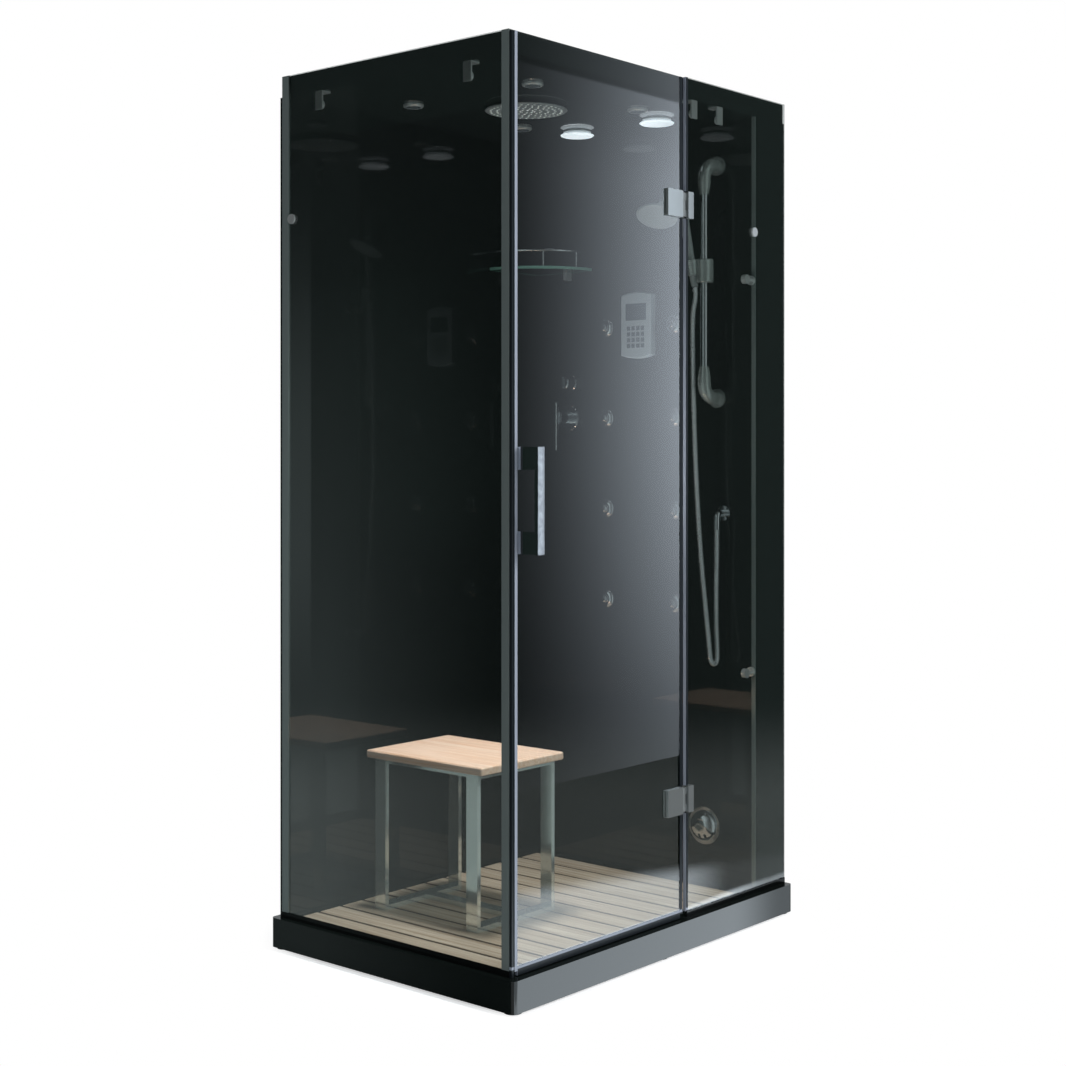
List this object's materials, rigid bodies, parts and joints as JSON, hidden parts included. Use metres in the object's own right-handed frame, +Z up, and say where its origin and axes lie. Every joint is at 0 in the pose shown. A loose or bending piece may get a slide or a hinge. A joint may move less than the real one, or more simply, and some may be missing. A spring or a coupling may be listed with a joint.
{
  "type": "steam shower cabin",
  "caption": "Rectangular steam shower cabin with a glass side, a hinged glass door, black walls, riser rail, body jets, control panel and a loose stool.",
  "frame": {"origin": "middle of the tray's footprint, at floor level, on the underside of the middle foot", "axes": "+Z up; -Y out of the door; +Y into the room wall behind; +X towards the service column"},
  "size_m": [1.12, 0.836, 2.15],
  "materials": {
    "black_acrylic": "gloss black moulded acrylic",
    "black_panel": "mirror-gloss black backed panel",
    "clear_glass": "tempered clear glass, grey-green tint",
    "shelf_clear_glass": "tempered clear glass",
    "polished_chrome": "polished chrome on brass",
    "polished_steel": "polished stainless steel",
    "satin_grey": "satin silver-grey",
    "bright_aluminium": "bright anodised aluminium",
    "clear_seal": "translucent soft PVC",
    "teak": "oiled pale hardwood",
    "galvanised": "zinc-coated steel",
    "dark_plastic": "dark moulded plastic",
    "white_plastic": "white moulded plastic",
    "opal": "opal diffuser",
    "screen": "dark display window",
    "keypad": "sealed membrane film",
    "copper": "copper pipe",
    "brass": "raw brass",
    "rubber": "black rubber pads on steel studs",
    "metal_hose": "interlocked chromed hose"
  },
  "bodies": {
    "cabin": {"shower_tray": "black_acrylic", "tray_frame": "galvanised", "levelling_feet": "rubber", "drain_waste": "dark_plastic", "drain_cover": "polished_steel", "back_wall": "black_panel", "right_wall": "black_panel", "service_cover": "black_acrylic", "service_posts": "bright_aluminium", "roof_shell": "black_acrylic", "left_glass": "clear_glass", "fixed_front_glass": "clear_glass", "glass_profiles": "bright_aluminium", "fixed_seals": "clear_seal", "glass_clamps": "polished_chrome", "hinge_fixed_leaves": "polished_chrome", "hinge_pins": "polished_steel", "steam_outlet": "polished_chrome", "steam_generator": "polished_steel", "service_pipework": "copper", "mixer_valves": "brass", "mixer_plates": "polished_chrome", "jet_flanges": "polished_chrome", "riser_bar": "polished_chrome", "riser_elbows": "satin_grey", "hose_outlet": "polished_chrome", "panel_housing": "satin_grey", "panel_screen": "screen", "panel_keypad": "keypad", "spot_rings": "polished_chrome", "spot_lenses": "opal", "ceiling_collars": "polished_chrome", "ceiling_discs": "opal", "rain_head": "polished_chrome", "fan_housing": "white_plastic", "shelf_glass": "shelf_clear_glass", "shelf_rail": "polished_chrome", "shelf_brackets": "polished_chrome", "shower_hose_lower": "metal_hose"},
    "door": {"door_glass": "clear_glass", "hinge_door_leaves": "polished_chrome", "door_seals": "clear_seal", "door_handle": "polished_chrome"},
    "lever": {"mixer_lever": "polished_chrome"},
    "diverter": {"diverter_knob": "polished_chrome"},
    "bracket": {"slide_bracket": "satin_grey", "shower_hose_upper": "metal_hose"},
    "hand_shower": {"hand_shower": "polished_chrome"},
    "fan": {"fan_rotor": "dark_plastic"},
    "duckboard": {"duckboard": "teak"},
    "stool": {"stool_seat": "teak", "stool_frame": "polished_steel"},
    "jet_1": {"jet_nozzle_1": "polished_chrome"},
    "jet_2": {"jet_nozzle_2": "polished_chrome"},
    "jet_3": {"jet_nozzle_3": "polished_chrome"},
    "jet_4": {"jet_nozzle_4": "polished_chrome"},
    "jet_5": {"jet_nozzle_5": "polished_chrome"},
    "jet_6": {"jet_nozzle_6": "polished_chrome"},
    "jet_7": {"jet_nozzle_7": "polished_chrome"},
    "jet_8": {"jet_nozzle_8": "polished_chrome"}
  },
  "joints": [
    {"name": "door_swing", "type": "hinge", "parent": "cabin", "child": "door", "pos_m": [0.1, -0.373, 1.1], "axis": [0, 0, 1], "range_deg": [0, 95]},
    {"name": "mixer_lever_turn", "type": "hinge", "parent": "cabin", "child": "lever", "pos_m": [0.39, 0.262, 1.32], "axis": [1, 0, 0], "range_deg": [-45, 45]},
    {"name": "diverter_turn", "type": "hinge", "parent": "cabin", "child": "diverter", "pos_m": [0.405, 0.255, 1.42], "axis": [1, 0, 0], "range_deg": [-90, 90]},
    {"name": "bracket_slide", "type": "slide", "parent": "cabin", "child": "bracket", "axis": [0, 0, 1], "range_m": [-0.19, 0.12], "deforming": ["shower_hose_lower"]},
    {"name": "hand_shower_lift", "type": "slide", "parent": "bracket", "child": "hand_shower", "axis": [-0.1366, 0.0788, 0.9875], "range_m": [0, 0.06], "deforming": ["shower_hose_upper"]},
    {"name": "jet_tilt_1", "type": "hinge", "parent": "cabin", "child": "jet_1", "pos_m": [0.415, -0.108, 0.814], "axis": [0, 1, 0], "range_deg": [-15, 15]},
    {"name": "jet_tilt_2", "type": "hinge", "parent": "cabin", "child": "jet_2", "pos_m": [0.415, -0.108, 1.066], "axis": [0, 1, 0], "range_deg": [-15, 15]},
    {"name": "jet_tilt_3", "type": "hinge", "parent": "cabin", "child": "jet_3", "pos_m": [0.415, -0.108, 1.318], "axis": [0, 1, 0], "range_deg": [-15, 15]},
    {"name": "jet_tilt_4", "type": "hinge", "parent": "cabin", "child": "jet_4", "pos_m": [0.415, -0.108, 1.57], "axis": [0, 1, 0], "range_deg": [-15, 15]},
    {"name": "jet_tilt_5", "type": "hinge", "parent": "cabin", "child": "jet_5", "pos_m": [0.415, 0.126, 0.814], "axis": [0, 1, 0], "range_deg": [-15, 15]},
    {"name": "jet_tilt_6", "type": "hinge", "parent": "cabin", "child": "jet_6", "pos_m": [0.415, 0.126, 1.066], "axis": [0, 1, 0], "range_deg": [-15, 15]},
    {"name": "jet_tilt_7", "type": "hinge", "parent": "cabin", "child": "jet_7", "pos_m": [0.415, 0.126, 1.318], "axis": [0, 1, 0], "range_deg": [-15, 15]},
    {"name": "jet_tilt_8", "type": "hinge", "parent": "cabin", "child": "jet_8", "pos_m": [0.415, 0.126, 1.57], "axis": [0, 1, 0], "range_deg": [-15, 15]},
    {"name": "fan_spin", "type": "hinge", "parent": "cabin", "child": "fan", "pos_m": [0.2855, -0.152, 2.125], "axis": [0, 0, 1], "continuous": true},
    {"name": "duckboard_lift", "type": "slide", "parent": "cabin", "child": "duckboard", "axis": [0, 0, 1], "range_m": [0, 0.06]},
    {"name": "stool_lift", "type": "slide", "parent": "duckboard", "child": "stool", "axis": [0, 0, 1], "range_m": [0, 0.3]}
  ]
}
